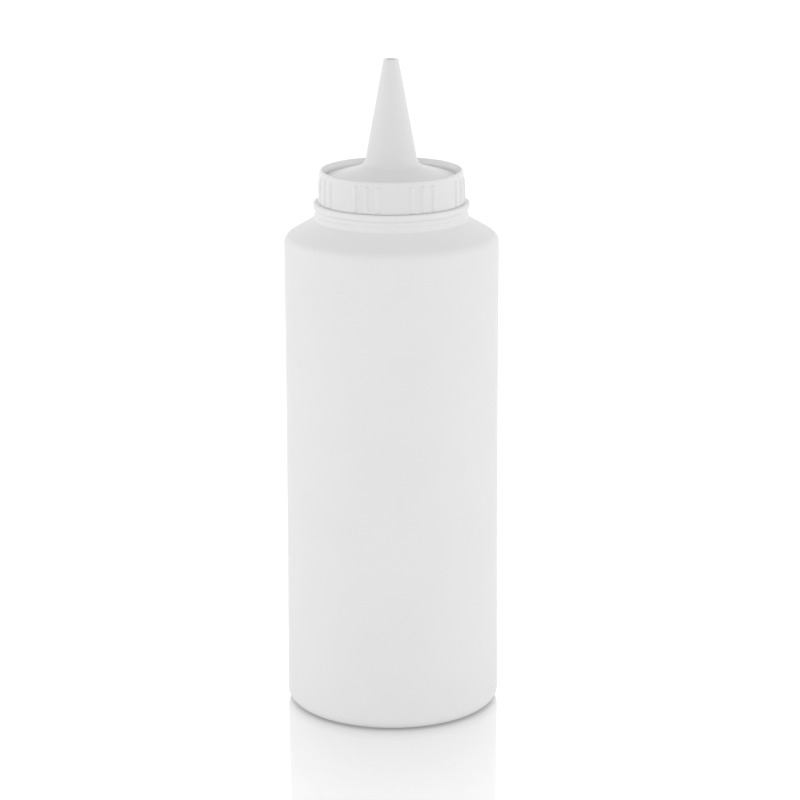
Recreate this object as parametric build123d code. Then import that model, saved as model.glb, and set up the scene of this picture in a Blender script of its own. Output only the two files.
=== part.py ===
from build123d import *
import math
import os

# A squeeze bottle for sauces, in millimetres: a blow-moulded bottle, a ribbed screw ring (the collar),
# a conical nozzle that drops into the ring, and a sealing washer between nozzle and bottle mouth.
# Frame: origin at the centre of the base, on the surface that the bottle stands on. +Z up, front at -Y.

# ---- driving dimensions: bottle ----
FOOT_RADIUS = 37.8
WAIST_RADIUS = 37.35
TOP_RADIUS = 37.4
WAIST_Z = 90.0
HEEL_ROUND = 4.0
PUSH_UP_RADIUS = 30.5
PUSH_UP_HEIGHT = 3.6
SHOULDER_Z = 167.05
SHOULDER_ROUND = 4.0
SHOULDER_SLOPE = 30.5
WALL = 1.2

# ---- driving dimensions: neck ----
RING_RADIUS = 26.8
RING_TOP = 177.4
GROOVE_RADIUS = 26.25
BEAD_RADIUS = 27.15
BEAD_BOTTOM = 179.5
BEAD_TOP = 181.5
NECK_RADIUS = 22.5
BORE_RADIUS = 21.25
MOUTH_Z = 186.8

# ---- driving dimensions: screw thread ----
PITCH = 2.5
RIDGE_BASE = 1.4
RIDGE_CREST = 0.6
RIDGE_HEIGHT = 1.2
RIDGE_ROOT = 0.2
THREAD_RISE = 3.1
NECK_THREAD_Z = 182.8
COLLAR_THREAD_Z = 182.6

# ---- driving dimensions: collar ----
SKIRT_RADIUS = 25.5
SKIRT_BOTTOM = 181.6
TAPER_Z = 187.8
RIM_TOP = 192.8
RIM_OUTER = 24.95
RIM_INNER = 23.95
BEVEL_RADIUS = 23.4
BEVEL_Z = 191.1
LIP_RADIUS = 23.15
LIP_Z = 188.95
COLLAR_BORE = 24.1
RIB_PROUD = 0.45
RIB_ARC = 4.2
RIB_TOP = 190.9
RIB_SPACING = 9.4
RIBS_PER_GROUP = 3
RIB_GROUPS = 8
FIRST_GROUP = -19.5

# ---- driving dimensions: nozzle and washer ----
FLANGE_RADIUS = 23.75
FLANGE_BOTTOM = 187.6
FLANGE_TOP = 188.9
DECK_RADIUS = 22.95
DECK_EDGE_Z = 190.15
DECK_WALL = 1.3
SPOUT_BASE_RADIUS = 9.35
SPOUT_BASE_Z = 194.2
SPOUT_BASE_FILLET = 4.0
TIP_RADIUS = 2.6
TIP_Z = 231.0
ORIFICE_RADIUS = 1.5
ORIFICE_LENGTH = 3.0
SPOUT_BASE_INNER = 8.0
PLUG_OUTER = 21.0
PLUG_INNER = 19.9
PLUG_BOTTOM = 185.0
WASHER_INNER = 21.3
WASHER_OUTER = 23.5
WASHER_BOTTOM = 186.85


def turned(line):
    """The solid that a closed outline in the XZ plane sweeps in one full turn about Z."""
    return revolve(make_face(line), axis=Axis.Z)


def ridge(radius, inward, start_z, start_angle):
    """One helical thread ridge on a wall of the given radius, rooted slightly inside the wall."""
    side = -1 if inward else 1
    section = Polyline(
        (radius - side * RIDGE_ROOT, 0, -RIDGE_BASE / 2),
        (radius + side * RIDGE_HEIGHT, 0, -RIDGE_CREST / 2),
        (radius + side * RIDGE_HEIGHT, 0, RIDGE_CREST / 2),
        (radius - side * RIDGE_ROOT, 0, RIDGE_BASE / 2),
        close=True,
    )
    path = Helix(pitch=PITCH, height=THREAD_RISE, radius=radius)
    solid = sweep(make_face(section), path=path, is_frenet=True)
    return Pos(0, 0, start_z) * Rot(0, 0, start_angle) * solid


def make_bottle():
    """Bottle in one piece: pushed-up base, slightly waisted wall, sloped shoulder and threaded neck."""
    slope = math.radians(SHOULDER_SLOPE)
    round_r = TOP_RADIUS - SHOULDER_ROUND + SHOULDER_ROUND * math.sin(slope)
    round_z = SHOULDER_Z + SHOULDER_ROUND * math.cos(slope)
    cone_top = round_z + (round_r - RING_RADIUS) * math.tan(slope)
    inner_round = SHOULDER_ROUND - WALL
    inner_r = TOP_RADIUS - SHOULDER_ROUND + inner_round * math.sin(slope)
    inner_z = SHOULDER_Z + inner_round * math.cos(slope)
    chamber_radius = GROOVE_RADIUS - WALL
    chamber_z = inner_z + (inner_r - chamber_radius) * math.tan(slope)
    half = math.radians(45 + SHOULDER_SLOPE / 2)
    mid_out = (
        TOP_RADIUS - SHOULDER_ROUND + SHOULDER_ROUND * math.sin(half),
        SHOULDER_Z + SHOULDER_ROUND * math.cos(half),
    )
    mid_in = (
        TOP_RADIUS - SHOULDER_ROUND + inner_round * math.sin(half),
        SHOULDER_Z + inner_round * math.cos(half),
    )
    heel_mid = HEEL_ROUND * (1 - math.sqrt(0.5))
    inner_heel = HEEL_ROUND - WALL
    inner_heel_mid = WALL + inner_heel * (1 - math.sqrt(0.5))
    with BuildLine(Plane.XZ) as outline:
        base = FilletPolyline(
            (0, PUSH_UP_HEIGHT),
            (PUSH_UP_RADIUS - PUSH_UP_HEIGHT, PUSH_UP_HEIGHT),
            (PUSH_UP_RADIUS, 0),
            (FOOT_RADIUS - HEEL_ROUND, 0),
            radius=1.4,
        )
        heel = ThreePointArc(
            base @ 1, (FOOT_RADIUS - heel_mid, heel_mid), (FOOT_RADIUS, HEEL_ROUND)
        )
        wall = ThreePointArc(heel @ 1, (WAIST_RADIUS, WAIST_Z), (TOP_RADIUS, SHOULDER_Z))
        shoulder = ThreePointArc(wall @ 1, mid_out, (round_r, round_z))
        neck = FilletPolyline(
            shoulder @ 1,
            (RING_RADIUS, cone_top),
            (RING_RADIUS, RING_TOP),
            (GROOVE_RADIUS, RING_TOP + 0.4),
            (GROOVE_RADIUS, BEAD_BOTTOM - 0.5),
            (BEAD_RADIUS, BEAD_BOTTOM),
            (BEAD_RADIUS, BEAD_TOP),
            (NECK_RADIUS, BEAD_TOP),
            (NECK_RADIUS, MOUTH_Z),
            radius=[0.3, 0.6, 0.5, 0.5, 0.8, 0.7, 0.3],
        )
        lip = Line(neck @ 1, (BORE_RADIUS, MOUTH_Z))
        chamber = Polyline(
            lip @ 1,
            (BORE_RADIUS, BEAD_TOP - WALL),
            (chamber_radius, BEAD_TOP - WALL),
            (chamber_radius, chamber_z),
            (inner_r, inner_z),
        )
        inner_shoulder = ThreePointArc(chamber @ 1, mid_in, (TOP_RADIUS - WALL, SHOULDER_Z))
        inner_wall = ThreePointArc(
            inner_shoulder @ 1, (WAIST_RADIUS - WALL, WAIST_Z), (FOOT_RADIUS - WALL, HEEL_ROUND)
        )
        inner_heel_arc = ThreePointArc(
            inner_wall @ 1,
            (FOOT_RADIUS - inner_heel_mid, inner_heel_mid),
            (FOOT_RADIUS - HEEL_ROUND, WALL),
        )
        inner_base = FilletPolyline(
            inner_heel_arc @ 1,
            (PUSH_UP_RADIUS + 0.5, WALL),
            (PUSH_UP_RADIUS - PUSH_UP_HEIGHT + 0.5, PUSH_UP_HEIGHT + WALL),
            (0, PUSH_UP_HEIGHT + WALL),
            radius=1.4,
        )
        Line(inner_base @ 1, base @ 0)
    return turned(outline.line) + ridge(NECK_RADIUS, False, NECK_THREAD_Z, 0)


def skirt_outline(proud, bottom, top):
    """Outer face of the collar's skirt, moved outwards by proud, as the points of a closed outline."""
    taper = (SKIRT_RADIUS - RIM_OUTER) / (RIM_TOP - TAPER_Z)
    top_radius = SKIRT_RADIUS - taper * (top - TAPER_Z)
    return [
        (COLLAR_BORE + 0.5, bottom),
        (SKIRT_RADIUS + proud - 0.1, bottom),
        (SKIRT_RADIUS + proud, bottom + 0.3),
        (SKIRT_RADIUS + proud, TAPER_Z),
        (top_radius + proud, top - 0.4),
        (top_radius, top),
        (COLLAR_BORE + 0.5, top),
    ]


def make_rib():
    """One upright rib of the collar, centred on the +X axis."""
    points = skirt_outline(RIB_PROUD, SKIRT_BOTTOM + 0.2, RIB_TOP)
    face = make_face(Plane.XZ * Polyline(*points, close=True))
    return Rot(0, 0, -RIB_ARC / 2) * revolve(face, axis=Axis.Z, revolution_arc=RIB_ARC)


def make_collar():
    """Screw ring: tapered ribbed skirt, raised rim bevelled inside, clamping lip and inner thread."""
    with BuildLine(Plane.XZ) as outline:
        outside = FilletPolyline(
            (COLLAR_BORE, SKIRT_BOTTOM),
            (SKIRT_RADIUS, SKIRT_BOTTOM),
            (SKIRT_RADIUS, TAPER_Z),
            (RIM_OUTER, RIM_TOP),
            (RIM_INNER, RIM_TOP),
            (BEVEL_RADIUS, BEVEL_Z),
            (LIP_RADIUS, LIP_Z),
            radius=[0.4, 12.0, 0.9, 0.15, 0.5],
        )
        Polyline(outside @ 1, (COLLAR_BORE, LIP_Z), outside @ 0)
    collar = turned(outline.line)
    rib = make_rib()
    for group in range(RIB_GROUPS):
        for place in range(RIBS_PER_GROUP):
            offset = (place - (RIBS_PER_GROUP - 1) / 2) * RIB_SPACING
            angle = -90 + FIRST_GROUP + group * 360 / RIB_GROUPS + offset
            collar += Rot(0, 0, angle) * rib
    # half a pitch below the neck's ridge at every angle, so the two threads mesh with play
    start = (COLLAR_THREAD_Z - NECK_THREAD_Z + PITCH / 2) / PITCH * 360
    return collar + ridge(COLLAR_BORE, True, COLLAR_THREAD_Z, start)


def make_nozzle():
    """Nozzle: flange under the collar's lip, raised conical deck, hollow spout and plug ring."""
    slope = (SPOUT_BASE_Z - DECK_EDGE_Z) / (DECK_RADIUS - SPOUT_BASE_RADIUS)
    inner_base_z = SPOUT_BASE_Z - DECK_WALL * math.hypot(1, slope)
    inner_edge_z = inner_base_z - (PLUG_INNER - SPOUT_BASE_INNER) * slope
    with BuildLine(Plane.XZ) as outline:
        outside = FilletPolyline(
            (PLUG_OUTER, PLUG_BOTTOM),
            (PLUG_OUTER, FLANGE_BOTTOM),
            (FLANGE_RADIUS, FLANGE_BOTTOM),
            (FLANGE_RADIUS, FLANGE_TOP),
            (DECK_RADIUS, FLANGE_TOP),
            (DECK_RADIUS, DECK_EDGE_Z),
            (SPOUT_BASE_RADIUS, SPOUT_BASE_Z),
            (TIP_RADIUS, TIP_Z),
            (ORIFICE_RADIUS, TIP_Z),
            (ORIFICE_RADIUS, TIP_Z - ORIFICE_LENGTH),
            radius=[0.2, 0.2, 0.2, 0.1, 0.4, SPOUT_BASE_FILLET, 0.4, 0.15],
        )
        Polyline(
            outside @ 1,
            (SPOUT_BASE_INNER, inner_base_z),
            (PLUG_INNER, inner_edge_z),
            (PLUG_INNER, PLUG_BOTTOM),
            outside @ 0,
        )
    return turned(outline.line)


def make_washer():
    """Flat ring of soft sealing material on the bottle's mouth, under the nozzle's flange."""
    thickness = FLANGE_BOTTOM - WASHER_BOTTOM
    ring = Circle(WASHER_OUTER) - Circle(WASHER_INNER)
    return Pos(0, 0, WASHER_BOTTOM) * extrude(ring, amount=thickness)


NODES = {
    "bottle": make_bottle,
    "collar": make_collar,
    "nozzle": make_nozzle,
    "seal_washer": make_washer,
}

os.makedirs("parts", exist_ok=True)
for name, make in NODES.items():
    solid = make()
    solid.label = name
    export_step(solid, f"parts/{name}.step")
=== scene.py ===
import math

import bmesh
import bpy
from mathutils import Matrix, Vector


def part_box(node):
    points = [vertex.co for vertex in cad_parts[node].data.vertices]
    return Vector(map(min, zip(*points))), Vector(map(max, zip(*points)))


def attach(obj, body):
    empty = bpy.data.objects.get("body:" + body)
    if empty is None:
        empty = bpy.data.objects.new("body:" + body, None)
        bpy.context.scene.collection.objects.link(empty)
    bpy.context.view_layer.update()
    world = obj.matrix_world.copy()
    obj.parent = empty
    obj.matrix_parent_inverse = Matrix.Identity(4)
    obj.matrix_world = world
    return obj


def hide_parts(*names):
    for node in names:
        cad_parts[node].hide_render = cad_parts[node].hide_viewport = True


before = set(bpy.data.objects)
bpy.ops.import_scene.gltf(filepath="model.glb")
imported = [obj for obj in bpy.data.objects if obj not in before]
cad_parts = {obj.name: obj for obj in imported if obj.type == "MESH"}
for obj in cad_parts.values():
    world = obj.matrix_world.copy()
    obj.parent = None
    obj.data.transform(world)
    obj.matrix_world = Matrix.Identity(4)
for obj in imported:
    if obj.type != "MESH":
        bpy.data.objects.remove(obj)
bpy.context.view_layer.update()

# Looks for a squeeze sauce bottle, in the CAD's frame: +Z up, front at -Y, base at z = 0.
# Each moulding is replaced by a finer mesh of nearly the same shape; the washer keeps its CAD mesh.
# Outlines are written in millimetres as (radius, z) and turned about Z; Blender gets metres.

MM = 0.001


def extent(node):
    """A CAD node's outer radius, lowest z and highest z, in millimetres."""
    low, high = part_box(node)
    return (high.x - low.x) / 2 / MM, low.z / MM, high.z / MM


FOOT_RADIUS, BASE_Z, MOUTH_Z = extent("bottle")
COLLAR_RADIUS, SKIRT_BOTTOM, RIM_TOP = extent("collar")
FLANGE_RADIUS, PLUG_BOTTOM, TIP_Z = extent("nozzle")
WASHER_TOP = extent("seal_washer")[2]

# ---- bottle outline ----
WAIST_RADIUS = FOOT_RADIUS - 0.45
TOP_RADIUS = FOOT_RADIUS - 0.4
WAIST_Z = 90.0
HEEL_ROUND = 4.0
WALL = 1.2
PUSH_UP_RADIUS = 30.5
PUSH_UP_HEIGHT = 3.6
PUSH_UP_ROUND = 1.4
SHOULDER_Z = MOUTH_Z - 19.75
SHOULDER_ROUND = 4.0
SHOULDER_SLOPE = math.radians(30.5)
RING_RADIUS = 26.8
RING_TOP = MOUTH_Z - 9.4
GROOVE_RADIUS = 26.25
BEAD_RADIUS = 27.15
BEAD_BOTTOM = MOUTH_Z - 7.3
BEAD_TOP = MOUTH_Z - 5.3
NECK_RADIUS = 22.5
BORE_RADIUS = 21.25

# ---- screw thread ----
PITCH = 2.5
RIDGE_BASE = 1.4
RIDGE_CREST = 0.6
RIDGE_HEIGHT = 1.2
THREAD_RISE = 3.1
NECK_THREAD_Z = MOUTH_Z - 4.0
COLLAR_THREAD_Z = SKIRT_BOTTOM + 1.0
RUN_OUT = math.radians(25)

# ---- collar outline ----
RIB_PROUD = 0.45
RIB_ARC = math.radians(4.2)
RIB_SPACING = math.radians(9.4)
RIBS_PER_GROUP = 3
RIB_GROUPS = 8
FIRST_GROUP = math.radians(-19.5)
# The collar's box ends at the edge of the rib nearest the X axis, this far round from it.
OUTERMOST_EDGE = -FIRST_GROUP - RIB_SPACING - RIB_ARC / 2
SKIRT_RADIUS = COLLAR_RADIUS / math.cos(OUTERMOST_EDGE) - RIB_PROUD
SKIRT_DROP = 0.06
TAPER_Z = RIM_TOP - 5.0
RIM_OUTER = SKIRT_RADIUS - 0.55
RIM_INNER = SKIRT_RADIUS - 1.55
BEVEL_RADIUS = SKIRT_RADIUS - 2.1
BEVEL_Z = RIM_TOP - 1.7
LIP_RADIUS = SKIRT_RADIUS - 2.35
LIP_Z = RIM_TOP - 3.85
COLLAR_BORE = SKIRT_RADIUS - 1.4
RIB_TOP = RIM_TOP - 1.9
RIB_BOTTOM = SKIRT_BOTTOM + 0.2
RIB_END = 0.35

# ---- nozzle outline ----
FLANGE_BOTTOM = WASHER_TOP
FLANGE_TOP = FLANGE_BOTTOM + 1.3
DECK_RADIUS = FLANGE_RADIUS - 0.64
DECK_EDGE_Z = FLANGE_TOP + 1.25
DECK_WALL = 1.3
SPOUT_BASE_RADIUS = 9.35
SPOUT_BASE_Z = TIP_Z - 36.8
SPOUT_BASE_FILLET = 4.0
TIP_RADIUS = 2.6
ORIFICE_RADIUS = 1.5
ORIFICE_LENGTH = 3.0
SPOUT_BASE_INNER = 8.0
PLUG_OUTER = 21.0
PLUG_INNER = 19.9


# ---- mesh making ----
ARC_STEP = math.radians(11)
LONGEST_BESIDE = 0.2
BESIDE_SHARE = 0.15
ON_AXIS = 1e-6
SAME_PLACE = 1e-3


def rounded(corners, closed=False):
    """Points along an outline of (r, z, fillet) corners: an arc at each fillet, with a point beside it."""
    points = []
    count = len(corners)
    for i, (r, z, fillet) in enumerate(corners):
        here = Vector((r, z))
        if fillet == 0 or (not closed and i in (0, count - 1)):
            points.append(here)
            continue
        before = (Vector(corners[i - 1][:2]) - here).normalized()
        after = (Vector(corners[(i + 1) % count][:2]) - here).normalized()
        half = before.angle(after) / 2
        reach = fillet / math.tan(half)
        centre = here + (before + after).normalized() * (fillet / math.sin(half))
        first = here + before * reach
        turn = math.pi - 2 * half
        side = 1 if before.x * after.y - before.y * after.x < 0 else -1
        steps = max(3, math.ceil(turn / ARC_STEP))
        beside = min(LONGEST_BESIDE, reach * BESIDE_SHARE)
        points.append(first + before * beside)
        arm = first - centre
        for k in range(steps + 1):
            a = side * turn * k / steps
            turned_r = arm.x * math.cos(a) - arm.y * math.sin(a)
            turned_z = arm.x * math.sin(a) + arm.y * math.cos(a)
            points.append(centre + Vector((turned_r, turned_z)))
        points.append(here + after * (reach + beside))
    return points


def arc(centre, radius, start, end, steps):
    """Points of a round stretch; angles in radians from the outward direction, turning up."""
    cr, cz = centre
    spread = [start + (end - start) * k / steps for k in range(steps + 1)]
    return [Vector((cr + radius * math.cos(a), cz + radius * math.sin(a))) for a in spread]


def divided(points, longest, closed=False):
    """The same outline with no stretch longer than given."""
    out = []
    ends = points[1:] + points[:1] if closed else points[1:]
    for a, b in zip(points, ends):
        steps = max(1, math.ceil((b - a).length / longest))
        out += [a.lerp(b, k / steps) for k in range(steps)]
    return out if closed else out + [points[-1]]


def turned(name, outline, angles, closed=False, shape=None):
    """A mesh turned about Z from an outline in mm. shape(r, z, angle) gives the radius to use there."""
    mesh = bmesh.new()
    rings = []
    for r, z in outline:
        if r < ON_AXIS:
            rings.append([mesh.verts.new((0, 0, z * MM))])
            continue
        ring = []
        for a in angles:
            moved_r = shape(r, z, a) if shape else r
            ring.append(mesh.verts.new((moved_r * math.cos(a) * MM, moved_r * math.sin(a) * MM, z * MM)))
        rings.append(ring)
    pairs = list(zip(rings, rings[1:]))
    if closed:
        pairs.append((rings[-1], rings[0]))
    count = len(angles)
    for low, high in pairs:
        for i in range(count):
            j = (i + 1) % count
            if len(low) == 1:
                mesh.faces.new((low[0], high[j], high[i]))
            elif len(high) == 1:
                mesh.faces.new((low[i], low[j], high[0]))
            else:
                mesh.faces.new((low[i], low[j], high[j], high[i]))
    bmesh.ops.recalc_face_normals(mesh, faces=mesh.faces)
    for face in mesh.faces:
        face.smooth = True
    data = bpy.data.meshes.new(name)
    mesh.to_mesh(data)
    mesh.free()
    piece = bpy.data.objects.new(name, data)
    bpy.context.scene.collection.objects.link(piece)
    return piece


def smooth_step(low, high, x):
    """From 0 at low to 1 at high, level at both."""
    t = min(1.0, max(0.0, (x - low) / (high - low)))
    return t * t * (3 - 2 * t)


def even_angles(count):
    return [2 * math.pi * k / count for k in range(count)]


def thread_height(z, angle, start_z, start_angle):
    """How far a helical ridge stands out of its wall at this place, in mm; its two ends run out gently."""
    length = THREAD_RISE / PITCH * 2 * math.pi
    height = 0.0
    along = (angle - start_angle) % (2 * math.pi)
    while along <= length:
        off = abs(z - (start_z + PITCH * along / (2 * math.pi)))
        share = (RIDGE_BASE / 2 - off) / ((RIDGE_BASE - RIDGE_CREST) / 2)
        fade = smooth_step(0, RUN_OUT, along) * smooth_step(0, RUN_OUT, length - along)
        height = max(height, RIDGE_HEIGHT * fade * min(1.0, max(0.0, share)))
        along += 2 * math.pi
    return height


# ---- bottle ----
SEAM_PROUD = 0.06
SEAM_HALF_WIDTH = math.radians(0.4)
SEAM_CREST = 0.3 * SEAM_HALF_WIDTH
SEAM_CLEAR = 1.6 * SEAM_HALF_WIDTH
SEAM_FADE = 3.0
BOTTLE_SIDES = 240
WALL_RINGS = 60
COARSE_STEP = 3.0
NECK_STEP = 0.3


def bottle_outline():
    """Outside from the middle of the base up to the mouth, then the inside down again."""
    rise = math.pi / 2 - SHOULDER_SLOPE
    centre = (TOP_RADIUS - SHOULDER_ROUND, SHOULDER_Z)
    base = rounded([
        (0, BASE_Z + PUSH_UP_HEIGHT, 0),
        (PUSH_UP_RADIUS - PUSH_UP_HEIGHT, BASE_Z + PUSH_UP_HEIGHT, PUSH_UP_ROUND),
        (PUSH_UP_RADIUS, BASE_Z, PUSH_UP_ROUND),
        (FOOT_RADIUS - HEEL_ROUND, BASE_Z, 0),
    ])
    heel = arc((FOOT_RADIUS - HEEL_ROUND, BASE_Z + HEEL_ROUND), HEEL_ROUND, -math.pi / 2, 0, 16)
    wall = [Vector((wall_radius(z), z)) for z in wall_levels()]
    shoulder = arc(centre, SHOULDER_ROUND, 0, rise, 12)
    cone_top = shoulder[-1].y + (shoulder[-1].x - RING_RADIUS) * math.tan(SHOULDER_SLOPE)
    neck = rounded([
        (shoulder[-1].x, shoulder[-1].y, 0),
        (RING_RADIUS, cone_top, 0.3),
        (RING_RADIUS, RING_TOP, 0.6),
        (GROOVE_RADIUS, RING_TOP + 0.4, 0.5),
        (GROOVE_RADIUS, BEAD_BOTTOM - 0.5, 0.5),
        (BEAD_RADIUS, BEAD_BOTTOM, 0.8),
        (BEAD_RADIUS, BEAD_TOP, 0.7),
        (NECK_RADIUS, BEAD_TOP, 0.3),
        (NECK_RADIUS, MOUTH_Z, 0.25),
        (BORE_RADIUS, MOUTH_Z, 0.25),
    ])
    inner_shoulder = arc(centre, SHOULDER_ROUND - WALL, rise, 0, 8)
    chamber = GROOVE_RADIUS - WALL
    chamber_z = inner_shoulder[0].y + (inner_shoulder[0].x - chamber) * math.tan(SHOULDER_SLOPE)
    inner_neck = rounded([
        (BORE_RADIUS, MOUTH_Z - 1, 0),
        (BORE_RADIUS, BEAD_TOP - WALL, 0.3),
        (chamber, BEAD_TOP - WALL, 0.8),
        (chamber, chamber_z, 0.8),
        (inner_shoulder[0].x, inner_shoulder[0].y, 0),
    ])
    inner_wall = [Vector((wall_radius(z) - WALL, z)) for z in reversed(wall_levels())]
    inner_heel = arc((FOOT_RADIUS - HEEL_ROUND, BASE_Z + HEEL_ROUND), HEEL_ROUND - WALL, 0, -math.pi / 2, 8)
    inner_base = rounded([
        (FOOT_RADIUS - HEEL_ROUND, BASE_Z + WALL, 0),
        (PUSH_UP_RADIUS + 0.5, BASE_Z + WALL, PUSH_UP_ROUND),
        (PUSH_UP_RADIUS + 0.5 - PUSH_UP_HEIGHT, BASE_Z + PUSH_UP_HEIGHT + WALL, PUSH_UP_ROUND),
        (0, BASE_Z + PUSH_UP_HEIGHT + WALL, 0),
    ])
    stretches = [divided(base, COARSE_STEP), heel, wall, shoulder, divided(neck, NECK_STEP)]
    stretches += [divided(inner_neck, COARSE_STEP), inner_shoulder, inner_wall, inner_heel]
    stretches += [divided(inner_base, COARSE_STEP)]
    outline = []
    for stretch in stretches:
        outline += [p for p in stretch if not outline or (p - outline[-1]).length > SAME_PLACE]
    return outline


def wall_levels():
    """Heights of the wall's rings, from above the heel to the shoulder's start."""
    low = BASE_Z + HEEL_ROUND
    return [low + (SHOULDER_Z - low) * k / WALL_RINGS for k in range(1, WALL_RINGS)]


def wall_radius(z):
    """The wall is slightly waisted: one parabola through the foot, the waist and the shoulder."""
    low = BASE_Z + HEEL_ROUND
    lower_slope = (WAIST_RADIUS - FOOT_RADIUS) / (WAIST_Z - low)
    upper_slope = (TOP_RADIUS - WAIST_RADIUS) / (SHOULDER_Z - WAIST_Z)
    bend = (upper_slope - lower_slope) / (SHOULDER_Z - low)
    return FOOT_RADIUS + (z - low) * (lower_slope + bend * (z - WAIST_Z))


def bottle_shape(r, z, angle):
    """Thread on the neck. The wall lies a hair inside its full size, which only the parting line reaches."""
    if z > BEAD_TOP + 0.05 and r > BORE_RADIUS + 0.6:
        return r + thread_height(z, angle, NECK_THREAD_Z, 0)
    low = BASE_Z + HEEL_ROUND
    if low < z < SHOULDER_Z and r > wall_radius(z) - WALL / 2:
        off = min(angle, abs(angle - math.pi), 2 * math.pi - angle)
        line = 1 - smooth_step(SEAM_CREST, SEAM_HALF_WIDTH, off)
        ends = smooth_step(low, low + SEAM_FADE, z) * (1 - smooth_step(SHOULDER_Z - SEAM_FADE, SHOULDER_Z, z))
        return r - SEAM_PROUD * ends * (1 - line)
    return r


def seam_angles(count):
    """Even angles, with more of them across the two parting lines at +X and -X."""
    fine = [k * SEAM_HALF_WIDTH / 4 for k in range(-5, 6)]
    angles = [(side + f) % (2 * math.pi) for side in (0, math.pi) for f in fine]
    angles += [a for a in even_angles(count) if abs(math.sin(a)) > math.sin(SEAM_CLEAR)]
    return sorted(angles)


bottle = turned("bottle_moulding", bottle_outline(), seam_angles(BOTTLE_SIDES), shape=bottle_shape)
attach(bottle, "bottle")
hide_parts("bottle")


# ---- collar ----
COLLAR_STEP = 0.25


def rib_centres():
    """Angles of the ribs, group after group, starting beside the front."""
    middle = (RIBS_PER_GROUP - 1) / 2
    for group in range(RIB_GROUPS):
        group_centre = -math.pi / 2 + FIRST_GROUP + group * 2 * math.pi / RIB_GROUPS
        for place in range(RIBS_PER_GROUP):
            yield group_centre + (place - middle) * RIB_SPACING


RIB_CENTRES = [a % (2 * math.pi) for a in rib_centres()]


def from_rib(angle):
    """Angle to the nearest rib's centre."""
    return min(abs((angle - c + math.pi) % (2 * math.pi) - math.pi) for c in RIB_CENTRES)


def collar_shape(r, z, angle):
    """Ribs outside, thread inside."""
    if r < COLLAR_BORE + 0.05 and z < LIP_Z - 0.3:
        start = (COLLAR_THREAD_Z - NECK_THREAD_Z + PITCH / 2) / PITCH * 2 * math.pi
        return r - thread_height(z, angle, COLLAR_THREAD_Z, start)
    if r > RIM_OUTER and z < RIM_TOP - 1:
        across = math.cos(min(1.0, from_rib(angle) / (RIB_ARC / 2)) * math.pi / 2)
        foot = smooth_step(RIB_BOTTOM, RIB_BOTTOM + RIB_END, z)
        head = smooth_step(RIB_TOP - RIB_END, RIB_TOP, z)
        along = foot * (1 - head)
        return r + RIB_PROUD * across * along
    return r


def collar_angles():
    """Angles close together across each rib, closest at its flanks, and a degree apart between ribs."""
    fine = [RIB_ARC / 2 * math.sin(k * math.pi / 14) for k in range(-7, 8)]
    angles = [(c + f) % (2 * math.pi) for c in RIB_CENTRES for f in fine]
    angles += [a for a in even_angles(360) if from_rib(a) > RIB_ARC * 0.55]
    return sorted(angles)


def collar_outline():
    """Round the skirt, over the rim and down its bevelled inside to the lip."""
    return rounded([
        (COLLAR_BORE, SKIRT_BOTTOM - SKIRT_DROP, 0.2),
        (SKIRT_RADIUS, SKIRT_BOTTOM - SKIRT_DROP, 0.25),
        (SKIRT_RADIUS, TAPER_Z, 12.0),
        (RIM_OUTER, RIM_TOP, 0.9),
        (RIM_INNER, RIM_TOP, 0.15),
        (BEVEL_RADIUS, BEVEL_Z, 0.5),
        (LIP_RADIUS, LIP_Z, 0.15),
        (COLLAR_BORE, LIP_Z, 0.15),
    ], closed=True)


collar_points = divided(collar_outline(), COLLAR_STEP, True)
collar = turned("screw_collar", collar_points, collar_angles(), True, collar_shape)
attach(collar, "collar")
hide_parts("collar")


# ---- nozzle ----
NOZZLE_STEP = 1.0
NOZZLE_SIDES = 192


def nozzle_outline():
    """Round the flange and deck, up the spout, and down its inside to the plug ring."""
    slope = (SPOUT_BASE_Z - DECK_EDGE_Z) / (DECK_RADIUS - SPOUT_BASE_RADIUS)
    inner_base_z = SPOUT_BASE_Z - DECK_WALL * math.hypot(1, slope)
    inner_edge_z = inner_base_z - (PLUG_INNER - SPOUT_BASE_INNER) * slope
    return rounded([
        (PLUG_OUTER, PLUG_BOTTOM, 0.2),
        (PLUG_OUTER, FLANGE_BOTTOM, 0.2),
        (FLANGE_RADIUS, FLANGE_BOTTOM, 0.2),
        (FLANGE_RADIUS, FLANGE_TOP, 0.2),
        (DECK_RADIUS, FLANGE_TOP, 0.1),
        (DECK_RADIUS, DECK_EDGE_Z, 0.4),
        (SPOUT_BASE_RADIUS, SPOUT_BASE_Z, SPOUT_BASE_FILLET),
        (TIP_RADIUS, TIP_Z, 0.4),
        (ORIFICE_RADIUS, TIP_Z, 0.15),
        (ORIFICE_RADIUS, TIP_Z - ORIFICE_LENGTH, 0.3),
        (SPOUT_BASE_INNER, inner_base_z, 0.6),
        (PLUG_INNER, inner_edge_z, 0.3),
        (PLUG_INNER, PLUG_BOTTOM, 0.2),
    ], closed=True)


nozzle_points = divided(nozzle_outline(), NOZZLE_STEP, True)
nozzle = turned("nozzle_moulding", nozzle_points, even_angles(NOZZLE_SIDES), True)
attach(nozzle, "nozzle")
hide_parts("nozzle")


# ---- materials ----
POLYETHYLENE_IOR = 1.51
CLOUD_DARK, CLOUD_LIGHT = 0.99, 1.008
TONE_CLOUD_SIZE = 0.022
GLOSS_CLOUD_SIZE = 0.009
GLOSS_SPREAD = 0.035
GRAIN_DEPTH = 0.00004
NOISE_LOW, NOISE_HIGH = 0.3, 0.7


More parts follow.
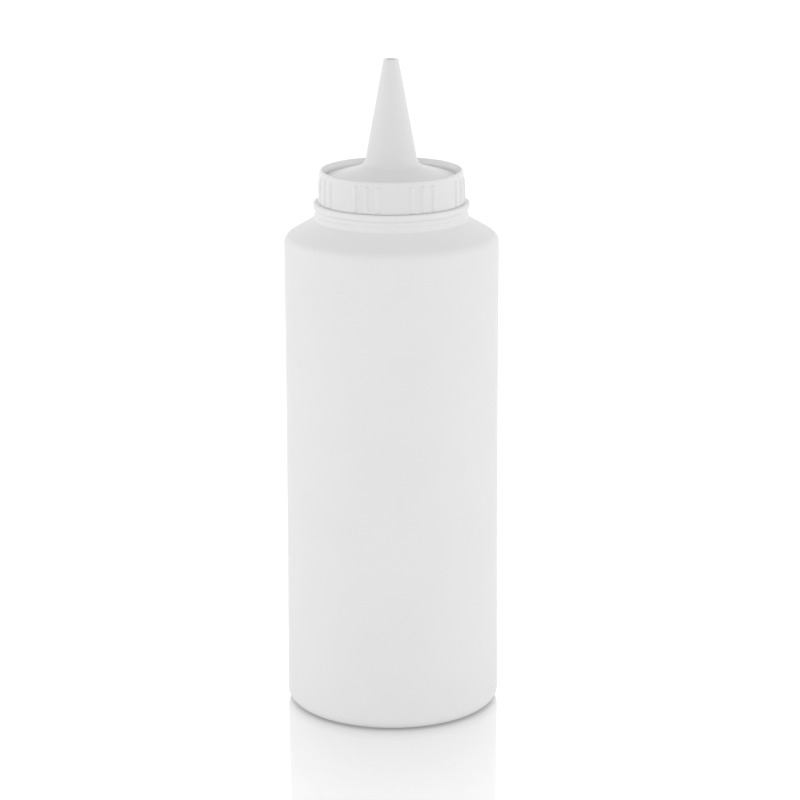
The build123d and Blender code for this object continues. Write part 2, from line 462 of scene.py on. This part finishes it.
def ranged(tree, value, low, high, to_low, to_high, smooth=False):
    """A value carried from one range to another and held at the ends."""
    remap = tree.nodes.new("ShaderNodeMapRange")
    remap.interpolation_type = "SMOOTHSTEP" if smooth else "LINEAR"
    remap.inputs["From Min"].default_value = low
    remap.inputs["From Max"].default_value = high
    remap.inputs["To Min"].default_value = to_low
    remap.inputs["To Max"].default_value = to_high
    tree.links.new(value, remap.inputs["Value"])
    return remap.outputs["Result"]


def from_axis(tree):
    """Distance from the object's own Z axis, in metres."""
    place = tree.nodes.new("ShaderNodeTexCoord")
    flat = tree.nodes.new("ShaderNodeVectorMath")
    flat.operation = "MULTIPLY"
    flat.inputs[1].default_value = (1, 1, 0)
    tree.links.new(place.outputs["Object"], flat.inputs[0])
    length = tree.nodes.new("ShaderNodeVectorMath")
    length.operation = "LENGTH"
    tree.links.new(flat.outputs["Vector"], length.inputs[0])
    return length.outputs["Value"]


def plastic(name, white, roughness, specular, grain, grain_size):
    """White moulded polymer: faint cloudiness in tone and gloss, and the mould's fine grain as bump."""
    material = bpy.data.materials.new(name)
    material.use_nodes = True
    nodes, links = material.node_tree.nodes, material.node_tree.links
    shader = nodes["Principled BSDF"]
    shader.inputs["IOR"].default_value = POLYETHYLENE_IOR
    shader.inputs["Specular IOR Level"].default_value = specular
    place = nodes.new("ShaderNodeTexCoord")

    def noise(size, detail, seed):
        texture = nodes.new("ShaderNodeTexNoise")
        texture.noise_dimensions = "4D"
        texture.inputs["W"].default_value = seed
        texture.inputs["Scale"].default_value = 1 / size
        texture.inputs["Detail"].default_value = detail
        links.new(place.outputs["Object"], texture.inputs["Vector"])
        return texture.outputs["Fac"]

    def spread(value, low, high):
        return ranged(material.node_tree, value, NOISE_LOW, NOISE_HIGH, low, high)

    tone = nodes.new("ShaderNodeMix")
    tone.data_type = "RGBA"
    tone.inputs["A"].default_value = (white * CLOUD_DARK, white * CLOUD_DARK, white * CLOUD_DARK, 1)
    tone.inputs["B"].default_value = (white * CLOUD_LIGHT, white * CLOUD_LIGHT, white * CLOUD_LIGHT, 1)
    links.new(spread(noise(TONE_CLOUD_SIZE, 3, 1.0), 0, 1), tone.inputs["Factor"])
    links.new(tone.outputs["Result"], shader.inputs["Base Color"])
    gloss = spread(noise(GLOSS_CLOUD_SIZE, 4, 2.0), roughness - GLOSS_SPREAD, roughness + GLOSS_SPREAD)
    links.new(gloss, shader.inputs["Roughness"])
    bump = nodes.new("ShaderNodeBump")
    bump.inputs["Strength"].default_value = grain
    bump.inputs["Distance"].default_value = GRAIN_DEPTH
    links.new(noise(grain_size, 2, 3.0), bump.inputs["Height"])
    links.new(bump.outputs["Normal"], shader.inputs["Normal"])
    return material


def dress(piece, material):
    """The material in place of whatever the piece wore."""
    piece.data.materials.clear()
    piece.data.materials.append(material)


# piece, material's name, white, roughness, specular level, strength of the grain, size of the grain
PLASTICS = [
    (bottle, "bottle_plastic", 0.865, 0.45, 0.22, 0.3, 0.0006),
    (collar, "closure_plastic", 0.80, 0.24, 0.9, 0.08, 0.0006),
    (nozzle, "nozzle_plastic", 0.805, 0.35, 0.35, 0.06, 0.0006),
    (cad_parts["seal_washer"], "washer_rubber", 0.79, 0.6, 0.3, 0.8, 0.0003),
]
for piece, *values in PLASTICS:
    dress(piece, plastic(*values))

# ---- stage ----
FLOOR_SIZE = 12.0
FLOOR_WHITE = 1.08
# Radii and strengths of the contact shadow painted into the floor under the heel; the reflection's fade
# starts at the outer radius.
PAINTED_SHADOW_INNER_RADIUS = 0.0350
PAINTED_SHADOW_OUTER_RADIUS = 0.0390
REFLECTION_NEAR = 0.77
REFLECTION_FAR = 0.53
REFLECTION_END = 0.095
PAINTED_SHADOW_MIRROR_TONE = 0.85
PAINTED_SHADOW_GLOW = 0.55
POLISH_ROUGHNESS = 0.02

floor_mesh = bpy.data.meshes.new("floor")
half = FLOOR_SIZE / 2
floor_mesh.from_pydata(
    [(-half, -half, 0), (half, -half, 0), (half, half, 0), (-half, half, 0)], [], [(0, 1, 2, 3)]
)
floor = bpy.data.objects.new("floor", floor_mesh)
bpy.context.scene.collection.objects.link(floor)

# Polished white counter: its reflection fades away from the bottle. A contact shadow is painted under the
# heel, by dimming the floor's glow and darkening its mirror's tone there.
floor_material = bpy.data.materials.new("floor")
floor_material.use_nodes = True
tree = floor_material.node_tree
tree.nodes.clear()
distance = from_axis(tree)
glow = tree.nodes.new("ShaderNodeEmission")
# Painted contact shadow: the glow dims from the floor's white to a lower strength under the heel.
glow_with_painted_shadow = ranged(tree, distance, PAINTED_SHADOW_INNER_RADIUS, PAINTED_SHADOW_OUTER_RADIUS, PAINTED_SHADOW_GLOW, FLOOR_WHITE, True)
tree.links.new(glow_with_painted_shadow, glow.inputs["Strength"])
mirror = tree.nodes.new("ShaderNodeBsdfGlossy")
mirror.inputs["Roughness"].default_value = POLISH_ROUGHNESS
# Painted contact shadow in the reflection: the mirror's tone is darkened under the heel.
mirror_with_painted_shadow = ranged(tree, distance, PAINTED_SHADOW_INNER_RADIUS, PAINTED_SHADOW_OUTER_RADIUS, PAINTED_SHADOW_MIRROR_TONE, 1, True)
tree.links.new(mirror_with_painted_shadow, mirror.inputs["Color"])
mix = tree.nodes.new("ShaderNodeMixShader")
share = ranged(tree, distance, PAINTED_SHADOW_OUTER_RADIUS, REFLECTION_END, REFLECTION_NEAR, REFLECTION_FAR)
tree.links.new(share, mix.inputs["Fac"])
surface = tree.nodes.new("ShaderNodeOutputMaterial")
tree.links.new(glow.outputs["Emission"], mix.inputs[1])
tree.links.new(mirror.outputs["BSDF"], mix.inputs[2])
tree.links.new(mix.outputs["Shader"], surface.inputs["Surface"])
floor.data.materials.append(floor_material)

# Soft white light all round: brightest at the two sides, dimmer overhead and from the front.
ALL_ROUND = 1.20
OVERHEAD = 0.56
FRONT = 0.88
SIDES = 1.22
OVERHEAD_FROM, OVERHEAD_FULL = 0.34, 0.82
FRONT_FULL, FRONT_TO = -0.9, -0.2
SIDES_FROM, SIDES_FULL = 0.7, 0.92

world = bpy.data.worlds.new("studio")
bpy.context.scene.world = world
world.use_nodes = True
tree = world.node_tree
direction = tree.nodes.new("ShaderNodeTexCoord")
split = tree.nodes.new("ShaderNodeSeparateXYZ")
tree.links.new(direction.outputs["Generated"], split.inputs["Vector"])
light = tree.nodes.new("ShaderNodeMath")
light.operation = "MULTIPLY"
from_above = ranged(tree, split.outputs["Z"], OVERHEAD_FROM, OVERHEAD_FULL, ALL_ROUND, OVERHEAD, True)
from_front = ranged(tree, split.outputs["Y"], FRONT_FULL, FRONT_TO, FRONT, 1, True)
tree.links.new(from_above, light.inputs[0])
tree.links.new(from_front, light.inputs[1])
aside = tree.nodes.new("ShaderNodeMath")
aside.operation = "ABSOLUTE"
tree.links.new(split.outputs["X"], aside.inputs[0])
panels = tree.nodes.new("ShaderNodeMath")
panels.operation = "MULTIPLY"
from_sides = ranged(tree, aside.outputs["Value"], SIDES_FROM, SIDES_FULL, 1, SIDES, True)
tree.links.new(light.outputs["Value"], panels.inputs[0])
tree.links.new(from_sides, panels.inputs[1])
background = tree.nodes["Background"]
background.inputs["Color"].default_value = (1, 1, 1, 1)
tree.links.new(panels.outputs["Value"], background.inputs["Strength"])

# ---- camera ----
CAMERA_DISTANCE = 0.975
CAMERA_HEIGHT = 0.369
CAMERA_PITCH = math.radians(14.87)
CAMERA_SIDE = 0.00340
CAMERA_ROLL = math.radians(0.13)
CAMERA_LENS = 128.5
SENSOR_WIDTH = 36
camera_data = bpy.data.cameras.new("camera")
camera_data.lens = CAMERA_LENS
camera_data.sensor_width = SENSOR_WIDTH
camera = bpy.data.objects.new("camera", camera_data)
camera.location = (CAMERA_SIDE, -CAMERA_DISTANCE, CAMERA_HEIGHT)
camera.rotation_euler = (math.pi / 2 - CAMERA_PITCH, CAMERA_ROLL, 0)
bpy.context.scene.collection.objects.link(camera)
bpy.context.scene.camera = camera
bpy.context.scene.view_settings.view_transform = "Standard"
